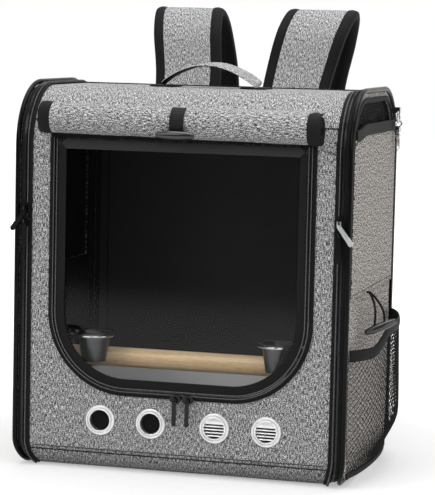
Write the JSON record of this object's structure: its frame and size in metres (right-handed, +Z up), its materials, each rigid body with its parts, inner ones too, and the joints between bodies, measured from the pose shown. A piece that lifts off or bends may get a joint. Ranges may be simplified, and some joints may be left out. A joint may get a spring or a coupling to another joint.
{
  "type": "bird travel carrier",
  "caption": "Soft backpack carrier for a parrot, with a clear zipped window, side doors, roll-up curtain, perch, feed cups, pull-out tray, bottle pocket and shoulder straps.",
  "frame": {"origin": "centre of the base, where the carrier stands", "axes": "+X to the carrier's right-hand side with the bottle pocket, +Y to the back with the shoulder straps, +Z up"},
  "size_m": [0.3819, 0.3535, 0.4683],
  "materials": {
    "heather_fabric": "grey heather polyester, padded",
    "base_fabric": "grey heather polyester, darker at the foot",
    "stiffener_board": "black polypropylene board",
    "spring_wire": "sprung steel wire",
    "air_mesh": "black spacer mesh over foam",
    "zip_tape": "black woven zip tape with coil",
    "taupe_fabric": "warm grey plain weave",
    "corner_piping": "glossy black piping",
    "black_mesh": "black knitted mesh",
    "black_binding": "black grosgrain binding",
    "clear_pvc": "clear PVC sheet",
    "vent_metal": "pressed aluminium, satin",
    "curtain_fabric": "light grey heather polyester",
    "black_webbing": "black webbing",
    "toggle_plastic": "dark horn-pattern resin",
    "handle_webbing": "grey webbing",
    "strap_fabric": "grey heather polyester, black edges",
    "buckle_plastic": "black acetal",
    "black_zip_metal": "black enamel",
    "bright_zip_metal": "polished zinc",
    "tray_plastic": "light grey polypropylene",
    "stand_plastic": "dark grey plastic",
    "perch_wood": "bare hardwood dowel",
    "chrome_wire": "chromed steel",
    "cup_steel": "stainless steel",
    "elastic_cord": "black covered elastic"
  },
  "bodies": {
    "carrier": {"back_pad": "air_mesh", "back_panel": "heather_fabric", "base_panel": "base_fabric", "carry_handle": "handle_webbing", "cup_rings": "chrome_wire", "curtain_bindings": "black_binding", "curtain_loop": "black_webbing", "curtain_roll": "curtain_fabric", "curtain_toggle": "toggle_plastic", "front_panel": "heather_fabric", "hinge_bindings": "heather_fabric", "hoop_frames": "spring_wire", "ladder_locks": "buckle_plastic", "perch": "perch_wood", "perch_stands": "stand_plastic", "shoulder_strap_left": "strap_fabric", "shoulder_strap_right": "strap_fabric", "side_zip_tapes": "zip_tape", "stiffener_boards": "stiffener_board", "strap_patches": "heather_fabric", "strap_webbings": "black_webbing", "top_panel": "heather_fabric", "tray": "tray_plastic", "vent_louvres": "vent_metal", "vent_rings": "vent_metal", "window_zip_tape": "zip_tape"},
    "left_door": {"door_panel_left": "taupe_fabric", "door_piping_left": "corner_piping", "door_zip_left": "zip_tape", "door_mesh_left": "black_mesh", "door_shade_left": "taupe_fabric"},
    "right_door": {"door_panel_right": "taupe_fabric", "door_piping_right": "corner_piping", "door_zip_right": "zip_tape", "door_mesh_right": "black_mesh", "door_shade_right": "taupe_fabric", "bottle_pocket": "black_mesh", "pocket_binding": "black_binding", "pocket_elastic": "elastic_cord", "pocket_toggle": "toggle_plastic", "leash_ring": "chrome_wire"},
    "window_flap": {"window_frame": "black_binding", "window_pane": "clear_pvc"},
    "snap_hook_body": {"snap_hook": "chrome_wire"},
    "snap_gate_body": {"snap_gate": "chrome_wire"},
    "left_cup": {"cup_left": "cup_steel"},
    "right_cup": {"cup_right": "cup_steel"},
    "side_slider_left_upper_body": {"side_slider_left_upper": "black_zip_metal"},
    "side_pull_left_upper_body": {"side_pull_left_upper": "bright_zip_metal"},
    "side_slider_left_lower_body": {"side_slider_left_lower": "black_zip_metal"},
    "side_pull_left_lower_body": {"side_pull_left_lower": "black_zip_metal"},
    "side_slider_right_upper_body": {"side_slider_right_upper": "black_zip_metal"},
    "side_pull_right_upper_body": {"side_pull_right_upper": "bright_zip_metal"},
    "side_slider_right_lower_body": {"side_slider_right_lower": "black_zip_metal"},
    "side_pull_right_lower_body": {"side_pull_right_lower": "black_zip_metal"},
    "window_slider_left_body": {"window_slider_left": "black_zip_metal"},
    "window_pull_left_body": {"window_pull_left": "black_zip_metal"},
    "window_slider_right_body": {"window_slider_right": "black_zip_metal"},
    "window_pull_right_body": {"window_pull_right": "black_zip_metal"}
  },
  "joints": [
    {"name": "left_door_hinge", "type": "hinge", "parent": "carrier", "child": "left_door", "pos_m": [-0.1725, 0.105, 0.19], "axis": [0, 0, -1], "range_deg": [0, 110]},
    {"name": "right_door_hinge", "type": "hinge", "parent": "carrier", "child": "right_door", "pos_m": [0.1725, 0.105, 0.19], "axis": [0, 0, 1], "range_deg": [0, 110]},
    {"name": "window_flap_hinge", "type": "hinge", "parent": "carrier", "child": "window_flap", "pos_m": [0, -0.109, 0.334], "axis": [-1, 0, 0], "range_deg": [0, 85]},
    {"name": "side_slider_left_upper_slide", "type": "slide", "parent": "carrier", "child": "side_slider_left_upper_body", "axis": [0, 0, 1], "range_m": [0, 0.056]},
    {"name": "side_pull_left_upper_swing", "type": "hinge", "parent": "side_slider_left_upper_body", "child": "side_pull_left_upper_body", "pos_m": [-0.161, -0.1148, 0.2625], "axis": [-1, 0, 0], "range_deg": [0, 100]},
    {"name": "side_slider_left_lower_slide", "type": "slide", "parent": "carrier", "child": "side_slider_left_lower_body", "axis": [0, 0, 1], "range_m": [-0.2, 0]},
    {"name": "side_pull_left_lower_swing", "type": "hinge", "parent": "side_slider_left_lower_body", "child": "side_pull_left_lower_body", "pos_m": [-0.161, -0.1148, 0.2495], "axis": [-1, 0, 0], "range_deg": [0, 100]},
    {"name": "side_slider_right_upper_slide", "type": "slide", "parent": "carrier", "child": "side_slider_right_upper_body", "axis": [0, 0, 1], "range_m": [0, 0.056]},
    {"name": "side_pull_right_upper_swing", "type": "hinge", "parent": "side_slider_right_upper_body", "child": "side_pull_right_upper_body", "pos_m": [0.161, -0.1148, 0.2625], "axis": [-1, 0, 0], "range_deg": [0, 100]},
    {"name": "side_slider_right_lower_slide", "type": "slide", "parent": "carrier", "child": "side_slider_right_lower_body", "axis": [0, 0, 1], "range_m": [-0.2, 0]},
    {"name": "side_pull_right_lower_swing", "type": "hinge", "parent": "side_slider_right_lower_body", "child": "side_pull_right_lower_body", "pos_m": [0.161, -0.1148, 0.2495], "axis": [-1, 0, 0], "range_deg": [0, 100]},
    {"name": "window_slider_left_slide", "type": "slide", "parent": "carrier", "child": "window_slider_left_body", "axis": [1, 0, 0], "range_m": [-0.045, 0]},
    {"name": "window_pull_left_swing", "type": "hinge", "parent": "window_slider_left_body", "child": "window_pull_left_body", "pos_m": [-0.0005, -0.1148, 0.0792], "axis": [-1, 0, 0], "range_deg": [0, 100]},
    {"name": "window_slider_right_slide", "type": "slide", "parent": "carrier", "child": "window_slider_right_body", "axis": [1, 0, 0], "range_m": [0, 0.035]},
    {"name": "window_pull_right_swing", "type": "hinge", "parent": "window_slider_right_body", "child": "window_pull_right_body", "pos_m": [0.0125, -0.1148, 0.0792], "axis": [-1, 0, 0], "range_deg": [0, 100]},
    {"name": "left_cup_lift", "type": "slide", "parent": "carrier", "child": "left_cup", "axis": [0, 0, 1], "range_m": [0, 0.08]},
    {"name": "right_cup_lift", "type": "slide", "parent": "carrier", "child": "right_cup", "axis": [0, 0, 1], "range_m": [0, 0.08]},
    {"name": "snap_hook_swing", "type": "hinge", "parent": "right_door", "child": "snap_hook_body", "pos_m": [0.1782, 0.084, 0.352], "axis": [0, -1, 0], "range_deg": [0, 60]},
    {"name": "snap_gate_swing", "type": "hinge", "parent": "snap_hook_body", "child": "snap_gate_body", "pos_m": [0.1782, 0.0796, 0.3388], "axis": [1, 0, 0], "range_deg": [0, 25], "stiffness_Nm_per_rad": 0.02, "springref_deg": -11.46}
  ]
}
